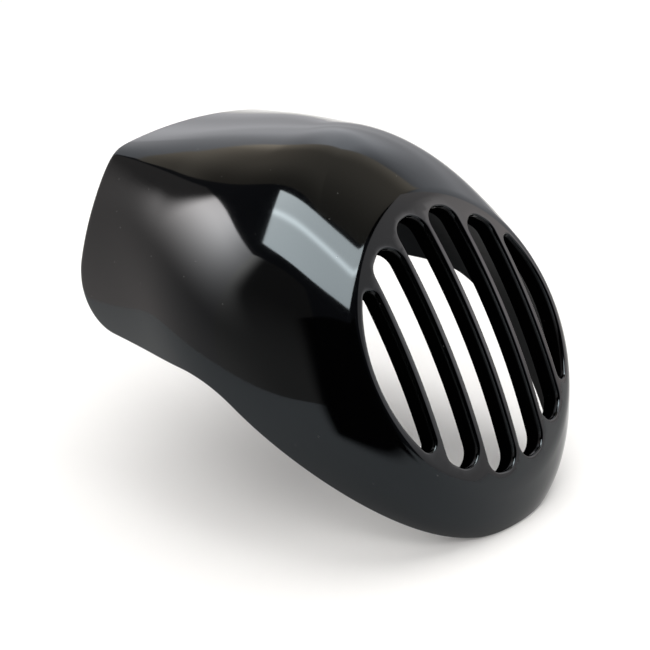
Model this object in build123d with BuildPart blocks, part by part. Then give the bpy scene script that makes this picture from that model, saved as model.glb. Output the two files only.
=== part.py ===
from build123d import *
import os
from math import atan2, cos, exp, log, pi, radians, sin
from scipy.interpolate import CubicSpline

# Headlight cowl: one moulded shell of gloss black plastic, in millimetres.
# X is across the motorbike, -Y is forward and +Z is up. The chin's lower rim stands at Z = 0.
# The lamp axis leaves the middle of the grille, square to its leaning face.

# Wall of the moulding
wall = 3.0

# Lamp axis and the domed grille face
lamp_y = -95.7
lamp_height = 106.0
face_lean = 30.0
face_dome_radius = 395.0
face_edge_round = 11.0

# Slots of the grille and the bars between them
grille_radius = 80.0
bar_count = 5
bar_pitch = 27.9
bar_width = 4.4
bar_depth = 12.0
slot_corner = 9.0
end_slot_corner = 5.0
slot_edge_round = 1.2
grille_flange = 3.0

# Collar: nearly round station where the flank leaves the face
collar_place = 0.0
collar_depth = 11.5
collar_side_margin = 7.0
collar_top_margin = 10.5

# Brow: station nearly square to the lamp axis, where the dome swells
brow_place = 0.16
brow_top_depth = 29.0
brow_bottom_depth = 33.0
brow_top = 125.0
brow_bottom = 113.5
brow_half_width = 99.0
brow_widest = 0.48

# Crown: station through the highest and widest part of the dome
crown_place = 0.42
crown_back = 125.5
crown_rise = 97.5
crown_keel_back = 58.0
crown_half_width = 117.5
crown_widest = 0.46
crown_squareness = 2.0
crown_lean_in = 0.03
crown_roof_fall = 0.01

# Shoulder: station where the roof starts to part from the wings
shoulder_place = 0.7
shoulder_back = 175.0
shoulder_rise = 87.5
shoulder_keel_back = 135.0
shoulder_half_width = 114.0
shoulder_widest = 0.48
shoulder_squareness = 5.0
shoulder_lean_in = 0.13
shoulder_roof_fall = 0.033

# Tail: station just past the rear edge, with a flat roof and leaning wings
tail_place = 1.0
tail_overrun = 2.0
tail_rise = 84.5
tail_half_width = 106.5
tail_widest = 0.5
tail_squareness = 24.0
tail_lean_in = 0.36
tail_roof_fall = 0.066

# Lowest line of the closed form, which the rim cuts away, and the form's start ahead of the face
keel_drop = 128.0
nose_place = -0.14

# Rim seen from the side, measured from the lamp centre: rear edge, wing, slope and chin
rear_edge_back = 227.5
wing_back = 220.0
wing_drop = 17.5
wing_front_back = 98.0
chin_back = -30.0
wing_corner_round = 38.0
slope_top_round = 70.0
chin_round = 8.0

# Sections of the loft, and sample points on one side of a section
section_count = 12
side_points = 25

lean = radians(face_lean)
lamp_centre = Vector(0, lamp_y, lamp_height)
lamp_axis = Vector(0, -cos(lean), sin(lean))
dome_centre = lamp_centre - lamp_axis * face_dome_radius
face_plane = Plane(lamp_centre, x_dir=(1, 0, 0), z_dir=lamp_axis)
side_plane = Plane(lamp_centre, x_dir=(0, 1, 0), z_dir=(1, 0, 0))


def by_lamp(depth, height):
    """Point of the symmetry plane: depth behind the face centre, height up the face."""
    return face_plane.from_local_coords((0, height, -depth))


def by_level(back, rise):
    """Point of the symmetry plane: level distance behind the lamp centre, and rise above it."""
    return side_plane.from_local_coords((back, rise, 0))


def station(roof, keel, half_width, widest=0.5, squareness=2, lean_in=0, roof_fall=0):
    """Values that shape one section, in the order in which the form line blends them."""
    return [roof.Y, roof.Z, keel.Y, keel.Z, half_width, widest, log(squareness), lean_in, roof_fall]


collar_half_width = grille_radius + collar_side_margin
collar_half_height = grille_radius + collar_top_margin
tail_back = rear_edge_back + tail_overrun

# Smooth curve through the stations, from which every section of the form is read
form_line = CubicSpline(
    [collar_place, brow_place, crown_place, shoulder_place, tail_place],
    [
        station(
            by_lamp(collar_depth, collar_half_height),
            by_lamp(collar_depth, -collar_half_height),
            collar_half_width,
        ),
        station(
            by_lamp(brow_top_depth, brow_top),
            by_lamp(brow_bottom_depth, -brow_bottom),
            brow_half_width,
            brow_widest,
        ),
        station(
            by_level(crown_back, crown_rise),
            by_level(crown_keel_back, -keel_drop),
            crown_half_width,
            crown_widest,
            crown_squareness,
            crown_lean_in,
            crown_roof_fall,
        ),
        station(
            by_level(shoulder_back, shoulder_rise),
            by_level(shoulder_keel_back, -keel_drop),
            shoulder_half_width,
            shoulder_widest,
            shoulder_squareness,
            shoulder_lean_in,
            shoulder_roof_fall,
        ),
        station(
            by_level(tail_back, tail_rise),
            by_level(tail_back, -keel_drop),
            tail_half_width,
            tail_widest,
            tail_squareness,
            tail_lean_in,
            tail_roof_fall,
        ),
    ],
    bc_type="natural",
)


def side_profile(height, half_width, widest, squareness, lean_in, roof_fall):
    """One side of a section, from its keel to its roof. Below the widest height it is an ellipse.
    Above, it is a superellipse whose side leans in and whose roof falls towards the sides."""
    points = []
    for i in range(side_points):
        turn = pi * (i / (side_points - 1) - 0.5)
        above = turn > 0
        power = squareness if above else 2
        across = max(cos(turn), 0) ** (2 / power) ** 0.5
        up = abs(sin(turn)) ** (2 / power) ** 0.5
        reach = (across**power + up**power) ** (-1 / power)
        across *= reach
        up *= reach
        if above:
            x = half_width * across * (1 - lean_in * up**2)
            y = height * (widest + (1 - widest) * up * (1 - roof_fall * across**2))
        else:
            x = half_width * across
            y = height * widest * (1 - up)
        points.append((x, y))
    return points


def inset_outline(points, amount):
    """Closed outline moved inwards, each point square to the line between its neighbours."""
    moved = []
    for i, (x, y) in enumerate(points):
        before = points[i - 1]
        after = points[(i + 1) % len(points)]
        along = Vector(after[0] - before[0], after[1] - before[1]).normalized()
        moved.append((x - along.Y * amount, y + along.X * amount))
    return moved


def section(place, inset):
    """Plane and closed outline of the form's section at a place, inset from the outer surface.
    The inset is measured square to the surface, which flares while the form widens."""
    roof_y, roof_z, keel_y, keel_z, half_width, widest, power, lean_in, roof_fall = form_line(place)
    keel = Vector(0, keel_y, keel_z)
    rise = Vector(0, roof_y, roof_z) - keel
    plane = Plane(keel, x_dir=(1, 0, 0), z_dir=Vector(1, 0, 0).cross(rise))
    roof_y_rate, roof_z_rate, keel_y_rate, keel_z_rate, widening = form_line(place, 1)[:5]
    advance = Vector(0, roof_y_rate + keel_y_rate, roof_z_rate + keel_z_rate).dot(-plane.z_dir) / 2
    flare = atan2(widening, advance)
    right = side_profile(rise.length, half_width, widest, exp(power), lean_in, roof_fall)
    left = [(-x, y) for x, y in right[-2:0:-1]]
    return plane.offset(-inset * sin(flare)), inset_outline(right + left, inset * cos(flare))


def closed_form(inset):
    """Solid inside the surface that lies inset from the outer one: a loft through the sections,
    cut by the dome of the grille face and rounded along the face's edge."""
    step = (tail_place - nose_place) / (section_count - 1)
    with BuildPart() as form:
        for i in range(section_count):
            plane, outline = section(nose_place + i * step, inset)
            with BuildSketch(plane):
                with BuildLine():
                    Spline(*outline, periodic=True)
                make_face()
        loft()
        with Locations(dome_centre):
            Sphere(face_dome_radius - inset, mode=Mode.INTERSECT)
        fillet(form.faces().filter_by(GeomType.SPHERE).edges(), face_edge_round - inset)
    return form.part


outer_form = closed_form(0)
inner_form = closed_form(wall)

# Hollow: the inner form, held back from the face by the depth of the bars
with BuildPart() as grille_block:
    with Locations(face_plane):
        Cylinder(grille_radius + grille_flange, 4 * bar_depth)
    with Locations(dome_centre):
        Sphere(face_dome_radius - bar_depth, mode=Mode.SUBTRACT)

with BuildPart() as hollow:
    add(inner_form)
    add(grille_block.part, mode=Mode.SUBTRACT)

with BuildPart() as cowl:
    add(outer_form)
    add(hollow.part, mode=Mode.SUBTRACT)

    # Slots: the grille circle less its bars, with rounded corners and softened front edges
    with BuildSketch(face_plane) as slots:
        Circle(grille_radius)
        with GridLocations(bar_pitch, 0, bar_count, 1):
            Rectangle(bar_width, 3 * grille_radius, mode=Mode.SUBTRACT)
        outermost_bar = bar_pitch * (bar_count - 1) / 2
        corners = slots.vertices().group_by(lambda corner: abs(corner.X) > outermost_bar)
        fillet(corners[0], slot_corner)
        fillet(corners[1], end_slot_corner)
    extrude(amount=2 * bar_depth, both=True, mode=Mode.SUBTRACT)
    face = cowl.faces().filter_by(GeomType.SPHERE).sort_by(Axis(lamp_centre, lamp_axis))[-1]
    fillet(face.inner_wires().edges(), slot_edge_round)

    # Rim: everything below and behind this side profile is cut away
    with BuildSketch(side_plane):
        with BuildLine():
            far = 2 * rear_edge_back
            rear_slant = (rear_edge_back - wing_back) / (tail_rise + wing_drop)
            rim = FilletPolyline(
                (wing_back + rear_slant * (far + wing_drop), far),
                (wing_back, -wing_drop),
                (wing_front_back, -wing_drop),
                (chin_back, -lamp_height),
                (-far, -lamp_height),
                radius=[wing_corner_round, slope_top_round, chin_round],
            )
            Polyline(rim @ 1, (-far, -far), (2 * far, -far), (2 * far, far), rim @ 0)
        make_face()
    extrude(amount=2 * crown_half_width, both=True, mode=Mode.SUBTRACT)

os.makedirs("parts", exist_ok=True)
cowl.part.label = "cowl_shell"
export_step(cowl.part, "parts/cowl_shell.step")
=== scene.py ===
# %% [markdown]
# # Headlight cowl
# A motorbike's headlight cowl is one thin moulding of gloss black plastic. A round grille leans back in
# front, a dome swells behind it, and the dome runs out into a flat roof and two wings round the forks.
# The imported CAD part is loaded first, because it is the frame that this finer surface has to stay in.

# %% Load the CAD frame
import bpy
import bmesh
import numpy as np
from mathutils import Euler, Matrix, Vector, geometry


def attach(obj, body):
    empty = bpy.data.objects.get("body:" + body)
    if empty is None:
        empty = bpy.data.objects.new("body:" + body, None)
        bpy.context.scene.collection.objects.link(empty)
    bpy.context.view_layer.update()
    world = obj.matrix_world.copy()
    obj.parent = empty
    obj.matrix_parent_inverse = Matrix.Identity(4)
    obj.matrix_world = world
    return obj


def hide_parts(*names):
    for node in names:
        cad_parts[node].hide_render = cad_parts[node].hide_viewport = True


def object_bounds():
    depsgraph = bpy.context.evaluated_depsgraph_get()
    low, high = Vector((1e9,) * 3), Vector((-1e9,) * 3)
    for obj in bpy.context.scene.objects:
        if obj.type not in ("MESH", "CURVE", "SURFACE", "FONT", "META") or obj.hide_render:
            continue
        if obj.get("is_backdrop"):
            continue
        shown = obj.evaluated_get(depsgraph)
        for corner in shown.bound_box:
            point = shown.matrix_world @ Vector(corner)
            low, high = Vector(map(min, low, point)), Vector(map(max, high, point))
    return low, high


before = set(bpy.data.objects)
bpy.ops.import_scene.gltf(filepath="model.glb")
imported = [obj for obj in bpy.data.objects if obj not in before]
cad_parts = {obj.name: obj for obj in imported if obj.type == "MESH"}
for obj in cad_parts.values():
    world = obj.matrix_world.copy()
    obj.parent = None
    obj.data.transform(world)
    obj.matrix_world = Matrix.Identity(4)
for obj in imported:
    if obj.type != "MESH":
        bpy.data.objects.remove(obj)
cad_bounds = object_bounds()
print("CAD box, metres:", [list(corner) for corner in cad_bounds])

# %% [markdown]
# ## The form line
# The mould was drawn from a few sections: collar, brow, crown, shoulder and tail, from face to rear.
# They could be drawn as curves and skinned, but gloss black shows every small dent in its reflections.
# So a natural cubic curve runs through the values of the sections, and each value changes smoothly.
# Lengths are in millimetres here, and the mesh is scaled to metres when it is made.

# %% Lamp axis and side view points
face_lean = np.radians(30.0)
lamp = np.array([0.0, -95.7, 106.0])
lamp_axis = np.array([0.0, -np.cos(face_lean), np.sin(face_lean)])
lamp_up = np.array([0.0, np.sin(face_lean), np.cos(face_lean)])


def by_lamp(depth, height):
    """Side view point (Y, Z): height up the leaning face, depth behind it."""
    return (lamp + height * lamp_up - depth * lamp_axis)[1:]


def by_level(back, rise):
    """Side view point (Y, Z): level distance behind the lamp centre, and rise above it."""
    return lamp[1:] + (back, rise)


print("lamp axis:", lamp_axis.round(3).tolist())

# %% Stations of the form
keel_drop = 128.0


def station(roof, keel, half_width, widest=0.5, squareness=2.0, lean_in=0.0, roof_fall=0.0):
    """Values that shape one section, in the order in which the form line blends them.
    Squareness is blended by its logarithm, because it grows many times over along the shell."""
    return [*roof, *keel, half_width, widest, np.log(squareness), lean_in, roof_fall]


collar = station(by_lamp(11.5, 90.5), by_lamp(11.5, -90.5), half_width=87.0)
brow = station(by_lamp(29.0, 125.0), by_lamp(33.0, -113.5), half_width=99.0,
               widest=0.48, squareness=1.705, lean_in=-0.20, roof_fall=-0.072)
crown = station(by_level(126.2, 97.9), by_level(58.0, -keel_drop), half_width=117.5,
                widest=0.453, squareness=2.0, lean_in=-0.012, roof_fall=0.004)
shoulder = station(by_level(172.5, 92.5), by_level(135.0, -keel_drop), half_width=114.0,
                   widest=0.471, squareness=4.31, lean_in=0.307, roof_fall=0.069)
tail = station(by_level(229.5, 84.5), by_level(229.5, -keel_drop), half_width=106.5,
               widest=0.50, squareness=24.0, lean_in=0.36, roof_fall=0.066)

stations = np.array([collar, brow, crown, shoulder, tail])
places = np.array([0.0, 0.16, 0.42, 0.70, 1.0])
print("stations:", len(stations), "values in each:", stations.shape[1])

# %% Natural cubic through the stations


def bend_of(knots, values):
    """Second derivatives m of the natural cubic: h0*m0 + 2(h0+h1)*m1 + h1*m2 = 6*(slope1 - slope0)."""
    h = np.diff(knots)
    slope = np.diff(values, axis=0) / h[:, None]
    system = np.diag(2 * (h[:-1] + h[1:])) + np.diag(h[1:-1], 1) + np.diag(h[1:-1], -1)
    inner = np.linalg.solve(system, 6 * np.diff(slope, axis=0))
    return np.pad(inner, ((1, 1), (0, 0)))


bends = bend_of(places, stations)


def form_line(place):
    """S = a*v0 + b*v1 + ((a^3-a)*m0 + (b^3-b)*m1)*h^2/6 on the span that holds the place, with a + b = 1."""
    place = np.asarray(place, float)
    k = np.clip(np.searchsorted(places, place) - 1, 0, len(places) - 2)
    h = (places[k + 1] - places[k])[..., None]
    b = (place[..., None] - places[k][..., None]) / h
    a = 1 - b
    bent = (a**3 - a) * bends[k] + (b**3 - b) * bends[k + 1]
    return a * stations[k] + b * stations[k + 1] + bent * h**2 / 6


half_widths = form_line(np.linspace(0, 1, 5))[:, 4]
print("half width at five even places, mm:", half_widths.round(1).tolist())

# %% Section and form
roof_turn = np.pi / 2
keel_turn = -np.pi / 2


def height_share(turn, widest, power, roof_fall):
    """Across, up and height share of a section's point: |across|^n + |up|^n = 1.
    Below the widest line n is 2, an ellipse. Above it n is the power, and the roof falls to the sides."""
    power = np.where(turn > 0, power, 2.0)
    across, up = np.maximum(np.cos(turn), 0.0), np.abs(np.sin(turn))
    reach = (across**power + up**power) ** (-1 / power)
    across, up = across * reach, up * reach
    above = widest + (1 - widest) * up * (1 - roof_fall * across**2)
    return across, up, np.where(turn > 0, above, widest * (1 - up))


def form(place, turn):
    """Point of the shell's right side. Place runs from face to tail, and turn from keel to roof."""
    values = np.moveaxis(form_line(place), -1, 0)
    roof_y, roof_z, keel_y, keel_z, half_width, widest, square, lean_in, roof_fall = values
    across, up, share = height_share(turn, widest, np.exp(square), roof_fall)
    x = half_width * across * np.where(turn > 0, 1 - lean_in * up**2, 1.0)
    return np.stack([x, keel_y + (roof_y - keel_y) * share, keel_z + (roof_z - keel_z) * share], -1)


crown_top = form(places[2], np.array(roof_turn))
print("roof height at the crown, mm:", round(float(crown_top[2]), 2))

# %% [markdown]
# ## The rim
# Seen from the side, the moulding is trimmed by one line: the chin, a long slope, the wing and the rear edge.
# A Boolean cut would leave ragged triangles along it, which show as nicks in a gloss surface.
# So the trim line is found on the form, as pairs of place and turn, and the surface grid ends exactly on it.

# %% Chin on the form
halvings = 60


def solve(low, high, too_low):
    """Bisection on whole arrays: the place where too_low turns from true to false."""
    for _ in range(halvings):
        middle = (low + high) / 2
        below = too_low(middle)
        low, high = np.where(below, middle, low), np.where(below, high, middle)
    return (low + high) / 2


def keel_line(place):
    """Side view point (Y, Z) of the form's lowest line."""
    return form_line(place)[..., 2:4]


chin_place = solve(np.array(0.0), np.array(0.4), lambda place: keel_line(place)[..., 1] > 0)
chin_back = keel_line(chin_place)[0] - lamp[1]
print("chin, mm behind the lamp centre:", round(float(chin_back), 1))

# %% Side profile of the rim
wing_back, wing_drop = 220.0, 17.5
rear_back, tail_rise = 227.5, 84.5
slope_foot_back, slope_top_back = -30.0, 98.0
rear_edge_rise = 30.0
chin_round, slope_round, wing_round = 8.0, 70.0, 38.0
arc_points = 60
rear_slant = (rear_back - wing_back) / (tail_rise + wing_drop)


def rounded(points, radii):
    """Straight runs joined by arcs. At a corner with half angle g, the arc's centre is r/sin(g) along the
    bisector, and the arc swings from one touching point u to the other, v."""
    path = [points[:1]]
    for before, corner, after, radius in zip(points, points[1:], points[2:], radii):
        a, b = [(p - corner) / np.linalg.norm(p - corner) for p in (before, after)]
        g = np.arccos(a @ b) / 2
        centre = corner + (a + b) / np.linalg.norm(a + b) * radius / np.sin(g)
        u, v = [corner + side * radius / np.tan(g) - centre for side in (a, b)]
        sweep = np.pi - 2 * g
        w = np.linspace(0, 1, arc_points)[:, None]
        path.append(centre + (np.sin((1 - w) * sweep) * u + np.sin(w * sweep) * v) / np.sin(sweep))
    return np.concatenate(path + [points[-1:]])


rim_corners = np.array([
    [chin_back, -lamp[2]],
    [slope_foot_back, -lamp[2]],
    [slope_top_back, -wing_drop],
    [wing_back, -wing_drop],
    [wing_back + rear_slant * (rear_edge_rise + wing_drop), rear_edge_rise],
])
low_rim = rounded(rim_corners, [chin_round, slope_round, wing_round]) + lamp[1:]
print("points on the side profile:", len(low_rim))

# %% Lower rim on the form
low_samples = 4000
first_place, last_place = -0.1, 1.1


def path_length(points):
    """Distance from the first point along a path of points."""
    return np.append(0, np.cumsum(np.linalg.norm(np.diff(points, axis=0), axis=1)))


def along(points, share):
    """Points at the given shares of a path's length."""
    length = path_length(points)
    return np.stack([np.interp(share * length[-1], length, c) for c in points.T], -1)


def to_form(side):
    """Place and turn of the form's point that is seen at (Y, Z) from the side. A section lies in one plane,
    so its place is where the line from keel to roof meets the point, and its turn has the point's height."""
    def ahead(place):
        roof_y, roof_z, keel_y, keel_z = np.moveaxis(form_line(place)[..., :4], -1, 0)
        return (roof_y - keel_y) * (side[:, 1] - keel_z) < (roof_z - keel_z) * (side[:, 0] - keel_y)
    place = solve(np.full(len(side), first_place), np.full(len(side), last_place), ahead)
    _, roof_z, _, keel_z, _, widest, square, _, roof_fall = np.moveaxis(form_line(place), -1, 0)
    share = (side[:, 1] - keel_z) / (roof_z - keel_z)
    turn = solve(np.full(len(side), keel_turn), np.full(len(side), roof_turn),
                 lambda t: height_share(t, widest, np.exp(square), roof_fall)[2] < share)
    return place, turn


low_place, low_turn = to_form(along(low_rim, np.linspace(0, 1, low_samples) ** 2))
print("wing corner at place:", round(float(low_place.max()), 3))

# %% Rear edge on the form
high_samples = 3000
rear_search = 0.5


def ahead_of_rear(place, turn):
    """True where the form at this place lies ahead of the leaning rear edge."""
    point = form(place, turn)
    return point[..., 1] - lamp[1] < wing_back + rear_slant * (point[..., 2] - lamp[2] + wing_drop)


high_turn = np.linspace(low_turn[-1], roof_turn, high_samples)[1:]
high_place = solve(np.full_like(high_turn, rear_search), np.full_like(high_turn, last_place),
                   lambda place: ahead_of_rear(place, high_turn))
trim = np.stack([np.append(low_place, high_place), np.append(low_turn, high_turn)], -1)
trim[0, 1] = keel_turn
trim_length = path_length(form(*trim.T))
print("half rim, mm:", round(float(trim_length[-1]), 1))

# %% [markdown]
# ## Grid lines along the rim
# The rim turns sharply at the wing's corner and at the roof's crease, and hardly at all along the slope.
# Even grid lines would cut those corners short, and a finer grid everywhere would waste points.
# So the lines are spread by length plus a share of how much the rim turns.

# %% Spread the grid lines
half_lines = 190
even_samples = 1500
turn_window = 41
turn_weight = 28.0

even_steps = np.linspace(0, trim_length[-1], even_samples)
even = np.stack([np.interp(even_steps, trim_length, c) for c in trim.T], -1)
run = np.diff(form(*even.T), axis=0)
run_length = np.linalg.norm(run, axis=1)
heading = run / run_length[:, None]
turning = np.arccos(np.clip((heading[1:] * heading[:-1]).sum(-1), -1, 1))
padded = np.pad(turning, turn_window // 2, mode="edge")
turning = np.convolve(padded, np.ones(turn_window) / turn_window, "valid")
weight = np.append(0, np.cumsum(run_length + turn_weight * np.append(turning, turning[-1])))
line_weights = np.linspace(0, weight[-1], half_lines + 1)
rim_place, rim_turn = [np.interp(line_weights, weight, c) for c in even.T]
print("grid lines on one side:", len(rim_place))

# %% [markdown]
# ## Flank, and its round edge at the face
# Each grid line starts on the edge of the grille face and runs back over the dome to a point of the rim.
# A bevel could round the edge between face and flank, but it wouldn't run smoothly into both curved sides.
# So a short parabola rounds it, tangent to both. The right half is worked out and mirrored, as the mould is.

# %% Points of the grille face
dome_radius, plate_edge = 395.0, 82.2
dome_centre = lamp - dome_radius * lamp_axis


def from_face(x, y, z):
    """Point given in the leaning face: x across, y up the face, z out along the lamp axis."""
    across = np.stack([x, 0 * x, 0 * x], -1)
    return across + lamp + np.multiply.outer(y, lamp_up) + np.multiply.outer(z, lamp_axis)


def cap(x, y, radius):
    """Height of a dome of this radius about the dome centre: z = sqrt(r^2 - x^2 - y^2) - R."""
    return np.sqrt(radius**2 - x**2 - y**2) - dome_radius


print("fall of the dome at the plate's edge, mm:", round(float(-cap(plate_edge, 0.0, dome_radius)), 2))

# %% Where the grid lines leave the face
lift_angle, lift_place, lift_spread = np.radians(26.0), 0.6, 0.22
least_step = 0.35
nose_place, past_edge_place = -0.14, 0.12


def lift_bell(line):
    """Bell curve exp(-((line - place) / spread)^2)."""
    return np.exp(-(((line - lift_place) / lift_spread) ** 2))


line = np.linspace(0, 1, half_lines + 1)
lift = lift_angle * (lift_bell(line) - lift_bell(1.0) * line)
steps = np.maximum(np.diff(rim_turn + np.maximum(lift, 0)), least_step * np.pi / half_lines)
face_turn = np.pi * (np.append(0, np.cumsum(steps)) / steps.sum() - 0.5)

edge_place = solve(np.full_like(line, nose_place), np.full_like(line, past_edge_place),
                   lambda place: np.linalg.norm(form(place, face_turn) - dome_centre, axis=-1) > dome_radius)
edge = form(edge_place, face_turn)
edge_x, edge_y = edge[:, 0], (edge - lamp) @ lamp_up
edge_reach = np.hypot(edge_x, edge_y)
print("face edge reach, mm:", edge_reach.min().round(2), "to", edge_reach.max().round(2))

# %% Round edge between face and flank
blend_rows = 10
small_place = 1e-4

plate_x, plate_y = edge_x * plate_edge / edge_reach, edge_y * plate_edge / edge_reach
plate_ring = from_face(plate_x, plate_y, cap(plate_x, plate_y, dome_radius))
leg = np.linalg.norm(edge - plate_ring, axis=1)
speed = np.linalg.norm(form(edge_place + small_place, face_turn) - edge, axis=1) / small_place
flank_place = edge_place + leg / speed
flank_start = form(flank_place, face_turn)

# Parabola (1-b)^2 * plate + 2b(1-b) * edge + b^2 * flank
b = np.linspace(0, 1, blend_rows + 1)[:, None, None]
blend = (1 - b) ** 2 * plate_ring + 2 * b * (1 - b) * edge + b**2 * flank_start
print("legs of the round edge, mm:", leg.min().round(2), "to", leg.max().round(2))

# %% Rim and the directions at it
near_end = 0.001


def flank(w):
    """Line from the face edge (w = 0) to the rim (w = 1), straight in place and turn."""
    return form(flank_place + (rim_place - flank_place) * w, face_turn + (rim_turn - face_turn) * w)


def mirrored(half):
    """Closed rows from half rows that start at the chin and end on the roof's middle line."""
    return np.concatenate([half, half[..., -2:0:-1, :] * (-1, 1, 1)], axis=-2)


rim = mirrored(flank(1.0))
rim_along = np.roll(rim, -1, 0) - np.roll(rim, 1, 0)
rim_along /= np.linalg.norm(rim_along, axis=1)[:, None]
last_step = rim - mirrored(flank(1 - near_end))
pace = last_step - (last_step * rim_along).sum(-1)[:, None] * rim_along
pace_length = np.linalg.norm(pace, axis=1)
rim_out = pace / pace_length[:, None]
print("points round the whole rim:", len(rim))

# %% Outer grid
edge_round = 1.0
flank_rows = 92
inside_point = np.array([0.0, 0.0, 60.0])

row_end = 1 - edge_round / (pace_length[:half_lines + 1] / near_end)
rows = np.linspace(0, 1, flank_rows + 1)[1:, None] * row_end
outer = mirrored(np.concatenate([blend, flank(rows)]))


def normals_of(grid):
    """Unit normals of a grid that is closed along its lines: cross product of the two central differences,
    turned so that the last row's normals point away from a point inside the shell."""
    normal = np.cross(np.roll(grid, -1, 1) - np.roll(grid, 1, 1), np.gradient(grid, axis=0))
    normal /= np.linalg.norm(normal, axis=-1)[..., None]
    return normal * np.sign((normal[-1] * (grid[-1] - inside_point)).sum())


outer_normal = normals_of(outer)
print("outer grid, rows and lines:", outer.shape[:2])

# %% [markdown]
# ## Rim strip, inside and grille pad
# The wall is 3 mm thick, and both edges of the rim have a small round that catches a thin line of light.
# Solidify and Bevel could give them, but near the grille the wall grows into a pad as deep as the bars.
# So the outer grid is carried on: over the rim, along the inside, and down the side of the pad.

# %% Rim strip
wall = 3.0
round_rows = 6

rim_normal = np.cross(rim_along, rim_out)
rim_normal *= np.sign((rim_normal * outer_normal[-1]).sum(-1))[:, None]

# Profile of the strip as (outwards, along the normal): a quarter round, the flat edge and a quarter round
arc = np.linspace(0, np.pi / 2, round_rows)
front_arc = np.stack([np.sin(arc) - 1, np.cos(arc) - 1], -1) * edge_round
back_arc = (front_arc * (1, -1) - (0, wall))[::-1]
profile = np.concatenate([front_arc[1:], back_arc[1:-1]])
strip = rim + profile[:, :1, None] * rim_out + profile[:, 1:, None] * rim_normal
print("rim strip rows:", len(strip))

# %% Inner grid and pad
inner_rows = 40
bar_depth, pad_radius = 12.0, 83.0
ledge_shares = np.array([0.35, 0.7])[:, None, None]
pad_shares = (0.0, 0.5, 1.0)

kept_rows = np.linspace(len(outer) - 1, blend_rows, inner_rows).round().astype(int)
inner = outer[kept_rows] - wall * outer_normal[kept_rows]

plate_outline = mirrored(np.stack([plate_x, plate_y, 0 * plate_y], -1))[:, :2]
ring_angle = np.arctan2(plate_outline[:, 1], plate_outline[:, 0])
ring_x, ring_y = pad_radius * np.cos(ring_angle), pad_radius * np.sin(ring_angle)
pad_top = cap(ring_x, ring_y, dome_radius - wall)
pad_low = cap(ring_x, ring_y, dome_radius - bar_depth)
pad = np.stack([from_face(ring_x, ring_y, pad_top + (pad_low - pad_top) * share) for share in pad_shares])
ledge = inner[-1] + (pad[0] - inner[-1]) * ledge_shares
shell = np.concatenate([outer, strip, inner, ledge, pad])
print("shell grid, rows and lines:", shell.shape[:2])

# %% [markdown]
# ## Slots of the grille
# The slots are a circle less five upright bars, with rounded corners. The two end slots are D-shaped.
# They could be cut with Booleans, but then their edges couldn't be rounded evenly.
# So each slot is an outline of lines and arcs that knows its normals, and the edges are built from it.

# %% Slot outlines
grille_radius, inner_reach = 80.0, 76.8
bar_pitch, bar_width = 27.9, 4.4
slot_corner, end_corner = 10.0, 5.0
side_points, corner_points = 20, 14
arc_step, least_arc_points = 2.0, 6


def slot_outline(left, right, corner, radius):
    """Closed outline and its outward normals. A corner arc of radius r touches a side and the circle R from
    inside, so its centre is r from the side and R - r from the middle. The end slot has no right side."""
    def centre(x):
        return x, np.sqrt((radius - corner) ** 2 - x**2)
    parts = []
    start = 0.0
    if right is not None:
        x, y = centre(right - corner)
        start = np.arctan2(y, x)
        side = np.linspace(0, y, side_points, endpoint=False)
        parts.append((np.full(side_points, right), side, np.zeros(side_points)))
        a = np.linspace(0, start, corner_points, endpoint=False)
        parts.append((x + corner * np.cos(a), y + corner * np.sin(a), a))
    x, y = centre(left + corner)
    end = np.arctan2(y, x)
    arc_count = max(int((end - start) * radius / arc_step), least_arc_points)
    a = np.linspace(start, end, arc_count, endpoint=False)
    parts.append((radius * np.cos(a), radius * np.sin(a), a))
    a = np.linspace(end, np.pi, corner_points, endpoint=False)
    parts.append((x + corner * np.cos(a), y + corner * np.sin(a), a))
    side = np.linspace(y, 0, side_points + 1)
    parts.append((np.full_like(side, left), side, np.full_like(side, np.pi)))
    x, y, a = [np.concatenate(c) for c in zip(*parts)]
    upper = np.stack([x, y, np.cos(a), np.sin(a)], -1)
    return np.concatenate([upper, (upper * (1, -1, 1, -1))[-2:0:-1]])


half_gap = bar_pitch / 2 - bar_width / 2
right_slots = [slot_outline(m * bar_pitch - half_gap, m * bar_pitch + half_gap, slot_corner, inner_reach)
               for m in (0.5, 1.5)]
right_slots.append(slot_outline(2 * bar_pitch + bar_width / 2, None, end_corner, grille_radius))
slot_outlines = right_slots + [outline[::-1] * (-1, 1, -1, 1) for outline in right_slots]
print("slots:", len(slot_outlines), "outline points:", [len(outline) for outline in slot_outlines])

# %% [markdown]
# ## Slot walls
# Each slot runs straight back between the bars. The mould softens its front edge, and its back edge less.
# One profile (front round, wall, back round) is carried round the slot's outline, so the rounds stay even.

# %% Slot walls
front_round, back_round = 1.2, 0.5
front_rows, wall_rows, back_rows = 7, 6, 4


def swing(a, b, w):
    """Unit vectors turned from a to b by the share w of the angle g between them:
    (sin((1-w)g)*a + sin(w*g)*b) / sin(g)."""
    g = np.arccos(np.clip((a * b).sum(-1), -1, 1))[..., None]
    return (np.sin((1 - w) * g) * a + np.sin(w * g) * b) / np.sin(g)


def rounded_edge(outline, reach, radius, side, rows):
    """Arc from the slot wall to a dome. Its centre is one radius inside the bar and one under the dome.
    Side is 1 at the front of the bars and -1 at their back."""
    normal = np.pad(outline[:, 2:], ((0, 0), (0, 1)))
    place = outline[:, :2] + radius * outline[:, 2:]
    centre = np.column_stack([place, cap(*place.T, reach - side * radius)])
    up = side * (centre + (0, 0, dome_radius)) / (reach - side * radius)
    return centre + radius * swing(-normal, up, np.linspace(0, 1, rows)[:, None, None])


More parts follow.
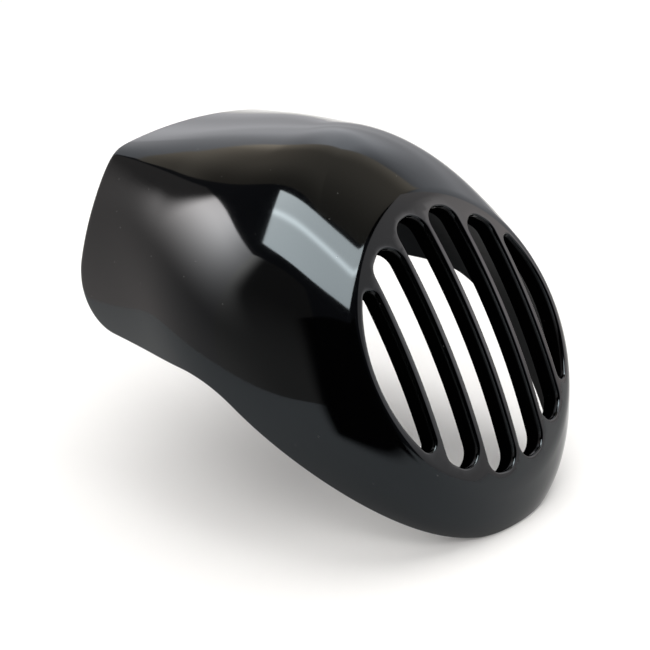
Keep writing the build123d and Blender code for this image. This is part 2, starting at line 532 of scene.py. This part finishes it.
def slot_wall(outline):
    """Rows of the slot's surface from the front of the bars to their back, in the face's own x, y, z."""
    front = rounded_edge(outline, dome_radius, front_round, 1, front_rows)[::-1]
    back = rounded_edge(outline, dome_radius - bar_depth, back_round, -1, back_rows)
    share = np.linspace(0, 1, wall_rows)[1:-1, None, None]
    return np.concatenate([front, front[-1] + (back[0] - front[-1]) * share, back])


slot_walls = [slot_wall(outline) for outline in slot_outlines]
print("rows in a slot wall:", len(slot_walls[0]))

# %% [markdown]
# ## Front and back of the bars
# The front and the back of the grille lie on two domes about one centre, with the slots as holes in them.
# A fan of long triangles between the outlines would shade badly, so a lattice of points lies between them.

# %% Plates with holes
lattice_pitch, lattice_clear, lattice_margin = 4.0, 1.6, 1.0
same_point = 1e-6
inside_only = 1


def inside(points, ring):
    """True for points inside a closed ring: a line to the right crosses the ring an odd number of times."""
    (x, y), a, b = points.T[:, :, None], ring.T, np.roll(ring, -1, 0).T
    spans = (a[1] > y) != (b[1] > y)
    rise = np.where(a[1] == b[1], 1.0, b[1] - a[1])
    return (spans & (x < a[0] + (b[0] - a[0]) * (y - a[1]) / rise)).sum(1) % 2 == 1


def in_slots(points, rings):
    """True for points inside any of the rings."""
    return np.any([inside(points, ring) for ring in rings], axis=0)


def closed_edges(loops):
    """Pairs of neighbouring points round each loop, with the loops' points counted one after another."""
    starts = np.cumsum([0] + [len(loop) for loop in loops])
    rounds = [np.arange(first, last) for first, last in zip(starts, starts[1:])]
    return np.concatenate([np.stack([r, np.roll(r, -1)], -1) for r in rounds]).tolist()


def fill(outer_ring, rings, radius):
    """Triangles between an outer ring and the slots' rings, over a lattice of points, lifted to a dome."""
    loops = [outer_ring] + rings
    border = np.concatenate(loops)
    ticks = np.arange(-grille_radius, grille_radius + 1, lattice_pitch)
    lattice = np.stack(np.meshgrid(ticks, ticks), -1).reshape(-1, 2)
    clear = np.hypot(*(lattice[:, None] - border).transpose(2, 0, 1)).min(1) > lattice_clear
    within = np.hypot(*lattice.T) < plate_edge - lattice_margin
    points = np.concatenate([border, lattice[clear & within & ~in_slots(lattice, rings)]])
    corners = [Vector(point) for point in points]
    made = geometry.delaunay_2d_cdt(corners, closed_edges(loops), [], inside_only, same_point)
    source = np.array([origin[0] for origin in made[3]])
    triangles = source[np.array(made[2])]
    triangles = triangles[~in_slots(points[triangles].mean(1), rings)]
    return np.column_stack([points, cap(*points.T, radius)]), triangles


front_rings = [rows[0, :, :2] for rows in slot_walls]
back_rings = [rows[-1, :, :2] for rows in slot_walls]
front_plate = fill(plate_outline, front_rings, dome_radius)
back_plate = fill(np.stack([ring_x, ring_y], -1), back_rings, dome_radius - bar_depth)
print("plate triangles, front and back:", len(front_plate[1]), len(back_plate[1]))

# %% [markdown]
# ## One closed piece
# The moulding is one closed skin, so the grids and plates become one mesh, welded at their borders.
# A number at each point says how polished the mould was: fully outside, a little inside, not in the slots.
# One material can then read it, which keeps the piece whole instead of cutting it up by finish.

# %% Gather the grids
inside_shine, slot_shine = 0.25, 0.0


def grid_faces(rows, columns):
    """Quads of a grid whose rows are closed loops: corners (r, c), (r, c+1), (r+1, c+1), (r+1, c)."""
    r, c = np.meshgrid(np.arange(rows - 1), np.arange(columns), indexing="ij")
    n = (c + 1) % columns
    corners = [r * columns + c, r * columns + n, (r + 1) * columns + n, (r + 1) * columns + c]
    return np.stack(corners, -1).reshape(-1, 4)


points, faces, shine = [], [], []
count = 0
grids = [(shell, len(outer) + len(strip), inside_shine)]
grids += [(from_face(*np.moveaxis(rows, -1, 0)), front_rows, slot_shine) for rows in slot_walls]
for grid, polished_rows, rest in grids:
    row_shine = np.where(np.arange(len(grid)) < polished_rows, 1.0, rest)
    points.append(grid.reshape(-1, 3))
    shine.append(np.repeat(row_shine, grid.shape[1]))
    faces += (grid_faces(*grid.shape[:2]) + count).tolist()
    count += len(points[-1])
for (plate, triangles), plate_shine in ((front_plate, 1.0), (back_plate, inside_shine)):
    points.append(from_face(*plate.T))
    shine.append(np.full(len(plate), plate_shine))
    faces += (triangles + count).tolist()
    count += len(plate)
print("points before welding:", count, "faces:", len(faces))

# %% Weld them into one mesh
millimetre = 0.001
weld_distance = 2e-6
crisp_angle = np.radians(38)

mesh = bpy.data.meshes.new("cowl_shell_gloss")
mesh.from_pydata(np.concatenate(points) * millimetre, [], faces)
mesh.attributes.new("shine", "FLOAT", "POINT").data.foreach_set("value", np.concatenate(shine))
work = bmesh.new()
work.from_mesh(mesh)
bmesh.ops.remove_doubles(work, verts=work.verts, dist=weld_distance)
loose = [v for v in work.verts if not v.link_faces]
bmesh.ops.delete(work, geom=loose, context="VERTS")
bmesh.ops.recalc_face_normals(work, faces=work.faces)
open_edges = sum(1 for e in work.edges if len(e.link_faces) != 2)
work.to_mesh(mesh)
work.free()
mesh.shade_smooth()
mesh.set_sharp_from_angle(angle=crisp_angle)
mesh.calc_loop_triangles()
print("vertices:", len(mesh.vertices), "triangles:", len(mesh.loop_triangles), "open edges:", open_edges)

# %% Put the piece in the frame
cowl = bpy.data.objects.new("cowl_shell_gloss", mesh)
bpy.context.scene.collection.objects.link(cowl)
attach(cowl, "root")
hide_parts("cowl_shell")
print("piece:", cowl.name, "size, metres:", [round(side, 4) for side in cowl.dimensions])

# %% [markdown]
# ## Gloss black plastic
# The moulding is dyed black through and polished by the mould, so light comes back only from its surface.
# A plain black shader would look like glass, so a slight waviness, a faint haze and specks of dust are added.
# The mirrored light is dim and a little blue on the real piece, which a low index and a tint give.

# %% Finish and haze
haze_dark, haze_pale = (0.0002, 0.0002, 0.0003, 1), (0.0008, 0.0008, 0.0009, 1)


def node(tree, kind, **values):
    """New node with its inputs set by name."""
    made = tree.nodes.new(kind)
    for name, value in values.items():
        made.inputs[name.replace("_", " ")].default_value = value
    return made


gloss = bpy.data.materials.new("gloss_black_plastic")
gloss.use_nodes = True
tree = gloss.node_tree
link = tree.links.new
shader = tree.nodes["Principled BSDF"]
shader.inputs["IOR"].default_value = 1.37
shader.inputs["Specular Tint"].default_value = (0.80, 0.91, 1.0, 1)
where = tree.nodes.new("ShaderNodeTexCoord")

haze = node(tree, "ShaderNodeTexNoise", Scale=14.0, Detail=4.0, Roughness=0.6)
link(where.outputs["Object"], haze.inputs["Vector"])
tint = tree.nodes.new("ShaderNodeValToRGB")
tint.color_ramp.elements[0].color = haze_dark
tint.color_ramp.elements[1].color = haze_pale
link(haze.outputs["Fac"], tint.inputs["Fac"])
cowl.data.materials.append(gloss)
print("material:", gloss.name)

# %% Polish by the shine of each point
satin_roughness = 0.4

shine_in = tree.nodes.new("ShaderNodeAttribute")
shine_in.attribute_name = "shine"
polish = node(tree, "ShaderNodeMapRange", From_Min=0.3, From_Max=0.7, To_Min=0.045, To_Max=0.075)
link(haze.outputs["Fac"], polish.inputs["Value"])
rough = node(tree, "ShaderNodeMix", A=satin_roughness)
link(shine_in.outputs["Fac"], rough.inputs["Factor"])
link(polish.outputs["Result"], rough.inputs["B"])
link(rough.outputs["Result"], shader.inputs["Roughness"])
mirror = node(tree, "ShaderNodeMapRange", To_Max=0.5)
link(shine_in.outputs["Fac"], mirror.inputs["Value"])
link(mirror.outputs["Result"], shader.inputs["Specular IOR Level"])
print("shine levels:", sorted({slot_shine, inside_shine, 1.0}))

# %% Dust specks and waviness
dust_colour = (0.05, 0.05, 0.048, 1)
colour_a, colour_b, mixed_colour = 6, 7, 2

cells = node(tree, "ShaderNodeTexVoronoi", Scale=85.0)
link(where.outputs["Object"], cells.inputs["Vector"])
speck = node(tree, "ShaderNodeMapRange", From_Min=0.045, From_Max=0.02)
link(cells.outputs["Distance"], speck.inputs["Value"])
dust = tree.nodes.new("ShaderNodeMix")
dust.data_type = "RGBA"
link(speck.outputs["Result"], dust.inputs["Factor"])
link(tint.outputs["Color"], dust.inputs[colour_a])
dust.inputs[colour_b].default_value = dust_colour
link(dust.outputs[mixed_colour], shader.inputs["Base Color"])

swell = node(tree, "ShaderNodeTexNoise", Scale=38.0, Detail=2.0)
link(where.outputs["Object"], swell.inputs["Vector"])
ripple = node(tree, "ShaderNodeBump", Strength=0.3, Distance=0.00004)
link(swell.outputs["Fac"], ripple.inputs["Height"])
link(ripple.outputs["Normal"], shader.inputs["Normal"])
print("nodes in the finish:", len(tree.nodes))

# %% [markdown]
# ## Floor and room
# A gloss black piece shows hardly anything but its surroundings, so the surroundings are built like a set.
# The photograph was taken on a bright white table in a dark room. The floor is one large pale sheet,
# which hides the horizon from every side, and the world behind it stays nearly black.

# %% Floor and room
floor_half = 40
scene = bpy.context.scene
scene.view_settings.view_transform = "Standard"


def sheet(name, corners, count=2):
    """Flat grid between four corners: (1-u)(1-v)*A + u(1-v)*B + u*v*C + (1-u)v*D, in metres."""
    v, u = [g[..., None] for g in np.meshgrid(*[np.linspace(0, 1, count)] * 2, indexing="ij")]
    a, b, c, d = np.asarray(corners, float)
    grid = (1 - u) * (1 - v) * a + u * (1 - v) * b + u * v * c + (1 - u) * v * d
    first = (np.arange(count - 1)[:, None] * count + np.arange(count - 1)).ravel()
    quads = np.stack([first, first + 1, first + count + 1, first + count], -1)
    made = bpy.data.meshes.new(name)
    made.from_pydata(grid.reshape(-1, 3), [], quads.tolist())
    item = bpy.data.objects.new(name, made)
    scene.collection.objects.link(item)
    item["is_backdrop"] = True
    return item, u[..., 0], v[..., 0]


floor_corners = [(-floor_half, -floor_half, 0), (floor_half, -floor_half, 0),
                 (floor_half, floor_half, 0), (-floor_half, floor_half, 0)]
floor = sheet("floor", floor_corners)[0]
pale = bpy.data.materials.new("white_table")
pale.use_nodes = True
paper = pale.node_tree.nodes["Principled BSDF"]
paper.inputs["Base Color"].default_value = (0.90, 0.885, 0.86, 1)
paper.inputs["Roughness"].default_value = 0.8
paper.inputs["Specular IOR Level"].default_value = 0.2
floor.data.materials.append(pale)

world = bpy.data.worlds.new("room")
scene.world = world
world.use_nodes = True
world.node_tree.nodes["Background"].inputs["Color"].default_value = (0.09, 0.09, 0.1, 1)
print("floor side, metres:", 2 * floor_half)

# %% [markdown]
# ## Glowing sheets
# A lamp panel, a lit wall and a white card look alike in gloss: a patch with its own outline and brightness.
# Area lamps could stand in for them, but they have no gradients and no bowed sides.
# So each is a sheet with its brightness stored at its points, and only the gloss sees it.

# %% Glow material
glow = bpy.data.materials.new("glowing_sheet")
glow.use_nodes = True
tree = glow.node_tree
link = tree.links.new
tree.nodes.remove(tree.nodes["Principled BSDF"])
emitter = tree.nodes.new("ShaderNodeEmission")
level_in = tree.nodes.new("ShaderNodeAttribute")
level_in.attribute_name = "level"
link(level_in.outputs["Color"], emitter.inputs["Color"])
clear = tree.nodes.new("ShaderNodeBsdfTransparent")
cover_mix = tree.nodes.new("ShaderNodeMixShader")
link(level_in.outputs["Alpha"], cover_mix.inputs["Fac"])
link(clear.outputs["BSDF"], cover_mix.inputs[1])
link(emitter.outputs["Emission"], cover_mix.inputs[2])
link(cover_mix.outputs["Shader"], tree.nodes["Material Output"].inputs["Surface"])
print("material:", glow.name)

# %% Card, and how its brightness changes
card_points = 40


def card(name, corners, level, tint, bow=None, cover=None):
    """Glowing sheet that only the gloss mirrors. Level gives its brightness at u, v, and cover how solid it
    is there. Bow moves the middle of each side by b0 to b3:
    p + 4 (u(1-u)(1-v) b0 + u v(1-v) b1 + u(1-u) v b2 + (1-u) v(1-v) b3)."""
    item, u, v = sheet(name, corners, card_points)
    if bow is not None:
        sides = [u * (1 - u) * (1 - v), u * v * (1 - v), u * (1 - u) * v, (1 - u) * v * (1 - v)]
        moved = 4 * np.stack(sides, -1) @ np.array(bow)
        flat = np.empty(3 * u.size)
        item.data.vertices.foreach_get("co", flat)
        item.data.vertices.foreach_set("co", flat + moved.ravel())
    value = level(u, v).ravel()
    solid = np.ones_like(value) if cover is None else cover(u, v).ravel()
    colour = np.column_stack([value * t for t in tint] + [solid])
    item.data.attributes.new("level", "FLOAT_COLOR", "POINT").data.foreach_set("color", colour.ravel())
    item.data.materials.append(glow)
    item.visible_camera = item.visible_diffuse = item.visible_shadow = False
    print(name, "level:", value.min().round(2), "to", value.max().round(2))


def smooth(low, high, x):
    """Smooth step 3t^2 - 2t^3 from 0 at low to 1 at high."""
    t = np.clip((x - low) / (high - low), 0, 1)
    return t * t * (3 - 2 * t)


def fade(low, high, x):
    """Smooth step the other way: 1 at low and 0 at high."""
    return 1 - smooth(low, high, x)


def bell(centre, spread, x):
    """Bell curve exp(-((x - centre) / spread)^2)."""
    return np.exp(-(((x - centre) / spread) ** 2))


print("points in a card:", card_points**2)

# %% [markdown]
# ## Overhead lamp
# The bright four-sided patch on the cowl's brow is a lamp panel overhead, with a brighter tube along it.
# Its corners were found by following the mirrored lines from the patch's corners up to the panel's height.
# Its sides are bowed, because the dome would otherwise bend them in the reflection.

# %% Overhead lamp
panel_height = 2.1
panel_corners = [(-0.27, 0.84, panel_height), (-1.56, 0.73, panel_height),
                 (-1.14, -0.87, panel_height), (0.77, -1.04, panel_height)]
panel_bow = [(0.04, -0.04, 0), (-0.37, -0.02, 0), (0.43, -0.30, 0), (-0.28, -0.16, 0)]


def panel_level(u, v):
    """Panel that dims a little forwards, with a narrow bell across it for the tube."""
    return 14.6 - 3.2 * v + 11.5 * bell(0.405, 0.055, u)


card("overhead_lamp", panel_corners, panel_level, (1.05, 1.06, 1.02), panel_bow)

# %% [markdown]
# ## Walls beside the wing
# The near wing mirrors a window high in a dim wall. Its side towards the dome is crisp, the others soft.
# Behind it the wall turns grey towards the rear edge. Two sheets meet at one edge and share its brightness.

# %% Walls beside the wing
middle = np.array([0.0, 0.0, 0.12])
warm_white, warm_grey = (1.18, 1.06, 1.0), (1.18, 1.06, 0.96)


def toward(turn, rise, distance=2.6):
    """Point seen from the cowl at a turn from +Y towards +X, and a rise above level, in degrees."""
    a, e = np.radians([turn, rise])
    return middle + distance * np.array([np.sin(a) * np.cos(e), np.cos(a) * np.cos(e), np.sin(e)])


def wing_level(u, v):
    """Dim wall plus the window: a bell across it, shown beyond a slanting near side and fading downwards."""
    shown = smooth(0.07, 0.16, u - 0.33 * v)
    dim = 0.85 - 0.35 * smooth(0.2, 1.0, u) + 0.25 * smooth(0.8, 1.0, v)
    dim = dim * (0.4 + 0.6 * np.maximum(shown, smooth(0.5, 0.8, v)))
    return dim + 14.0 * shown * fade(0.22, 0.84, v) * bell(0.42, 0.50, u)


def wall_level(u, v):
    """Grey wall that starts at the wing card's level and falls off: faster above, slower near the floor."""
    start = wing_level(np.ones_like(u), v)
    dark = 0.16 + 0.25 * smooth(0.45, 0.9, v)
    return dark + (start - dark) * fade(0.0, 0.24 + 0.35 * smooth(0.5, 0.9, v), u)


shared_top, shared_foot = toward(-67, 43), (-0.95, 0.35, 0.0)
card("wing_card", [toward(-13, 46), shared_top, shared_foot, (0.1, 0.72, 0.0)], wing_level, warm_white)
card("grey_wall", [shared_top, toward(-92, 42), (-1.2, -0.2, 0.0), shared_foot], wall_level, warm_grey)

# %% [markdown]
# ## Window walls of the room
# The pale band along the roof is the far side of the room, bright above and dim near the floor.
# Two tall sheets meet in the room's corner, so that the band runs on without a break.

# %% Window walls
wall_foot = 0.01
side_x, near_y, corner_y, corner_top = 2.7, -2.7, 4.4, 5.6
back_x, back_y, back_top = -0.35, 4.1, 4.8
cool_white = (0.98, 0.98, 1.02)


def side_level(u, v):
    """Window wall: bright above, fading towards its far end, over a dimmer strip that runs all along."""
    far = smooth(0.28, 0.48, u)
    above = smooth(0.36 - 0.15 * far, 0.54 - 0.15 * far, v)
    strip_level = 0.72 + 0.6 * smooth(0.07, 0.2, v)
    window_level = 2.75 * far * (1 - 0.48 * smooth(0.62, 0.97, u))
    return strip_level * (1 - above) + window_level * above


def back_level(u, v):
    """Wall that grows paler upwards."""
    return 0.68 + 0.75 * smooth(0.0, 0.66, v)


card("side_card", [(side_x, near_y, wall_foot), (side_x, corner_y, wall_foot),
                   (side_x, corner_y, corner_top), (side_x, near_y, corner_top)], side_level, cool_white)
card("back_card", [(side_x, corner_y, wall_foot), (back_x, back_y, wall_foot),
                   (back_x, back_y, back_top), (side_x, corner_y, corner_top)], back_level, cool_white)

# %% [markdown]
# ## Dim ceiling
# Between the pale band and the lamp panel the roof mirrors a dim, warm ceiling, lighter near the windows.
# It is two sheets that share an edge, each bowed where the dome would otherwise kink the line of its border.

# %% Dim ceiling
ceiling = 2.13
warm_brown = (1.22, 1.05, 0.84)
still = (0, 0, 0)
shared_right, shared_left = (1.25, 0.42, ceiling), (-0.05, -0.2, ceiling)


def rear_ceiling_level(u, v):
    """Dim, with soft steps up towards the windows and towards the rear."""
    return 0.3 + 0.35 * fade(0.5, 1.0, u) + 0.6 * fade(0.0, 0.25, u) + 0.6 * fade(0.0, 0.2, v)


def front_ceiling_level(u, v):
    """Dim, with soft steps up towards the windows."""
    return 0.3 + 0.35 * fade(0.3, 1.0, u) + 0.6 * fade(0.0, 0.25, u)


card("dim_ceiling", [(1.40, 2.36, ceiling), (-0.3, 2.3, ceiling), shared_left, shared_right],
     rear_ceiling_level, warm_brown, [(0, -0.08, 0), still, still, (-0.2, 0, 0)])
card("front_ceiling", [shared_right, shared_left, (0.8, -1.1, ceiling), (2.7, -0.25, ceiling)],
     front_ceiling_level, warm_brown, [still, still, still, (-0.15, -0.12, 0)])

# %% [markdown]
# ## In front of the grille
# The fronts of the bars are grey because they mirror a window ahead of the cowl, brightest at mid height.
# Beside the grille the flank is quite black: a black card stands there and hides the pale table from it.

# %% Front window and black card
front_white = (1.15, 1.04, 1.0)
front_corners = [toward(103, 45), toward(172, 40), (0.36, -2.57, 0.0), (2.5, -0.58, 0.0)]
flag_corners = [(-0.27, -0.09, 0.0), (-0.09, -0.33, 0.0), (-0.09, -0.33, 0.42), (-0.36, -0.02, 0.26)]


def front_level(u, v):
    """Window that is brightest at mid height, and fades towards the floor and to both sides."""
    across = (0.25 + 0.75 * smooth(0.0, 0.4, u)) * (1 - 0.55 * smooth(0.52, 0.75, u))
    return 1.15 + 2.15 * across * smooth(0.26, 0.40, v) * fade(0.55, 1.0, v)


def flag_cover(u, v):
    """Solid card with soft sides and a soft foot."""
    return smooth(0.0, 0.08, u) * fade(0.8, 1.0, u) * smooth(0.0, 0.08, v)


card("front_card", front_corners, front_level, front_white)
card("black_flag", flag_corners, lambda u, v: 0 * u, front_white, cover=flag_cover)

# %% [markdown]
# ## Light on the table
# The table is lit nearly white, with a soft shadow under the cowl. The cards can't light it, because only
# the gloss sees them. So a wide sky, a lamp over the table and a fill from the camera's side do that,
# and the gloss doesn't see these.

# %% Light on the table


def set_light(name, kind, energy):
    """Lamp of this kind that lights the table and isn't mirrored."""
    data = bpy.data.lights.new(name, kind)
    data.energy = energy
    item = bpy.data.objects.new(name, data)
    scene.collection.objects.link(item)
    item.visible_glossy = item.visible_camera = False
    print(name, "energy:", energy)
    return item


def square_lamp(name, place, aim, side, power):
    """Soft square lamp at a place, turned to its aim."""
    item = set_light(name, "AREA", power)
    item.data.shape = "SQUARE"
    item.data.size = side
    item.location = place
    item.rotation_euler = (Vector(aim) - Vector(place)).to_track_quat("-Z", "Y").to_euler()


square_lamp("table_lamp", place=(0.9, 0.3, 2.4), aim=(0, 0, 0), side=2.2, power=34)
sky = set_light("sky_fill", "SUN", 2.15)
sky.data.angle = np.radians(140)
square_lamp("camera_fill", place=(-1.6, -1.2, 1.5), aim=(-0.2, -0.1, 0), side=2.4, power=24)

# %% [markdown]
# ## Camera
# The camera was worked out from the ends of the slots, whose places on the face are known.
# It stands level, to the left of the grille and above it, and looks down on the cowl.

# %% Camera
camera_place = (-0.60113, -0.51703, 0.41229)
camera_turn, camera_dip = np.radians(-48.178), np.radians(22.439)

camera = bpy.data.objects.new("camera", bpy.data.cameras.new("camera"))
scene.collection.objects.link(camera)
camera.data.lens = 78.65
camera.data.sensor_width = 36.0
view = Euler((np.pi / 2 - camera_dip, 0, camera_turn)).to_matrix().to_4x4()
camera.matrix_world = Matrix.Translation(camera_place) @ view
scene.camera = camera
print("camera distance, metres:", round(float(np.linalg.norm(camera_place)), 3))

# %% [markdown]
# ## Sizes
# The finer surface must not outgrow the CAD part, so both boxes are measured and the room between them is
# worked out.

# %% Sizes
room_left = np.abs(np.array(cad_bounds) - np.array(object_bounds())) / millimetre
print("room inside the CAD box, mm:", room_left.round(2).tolist())
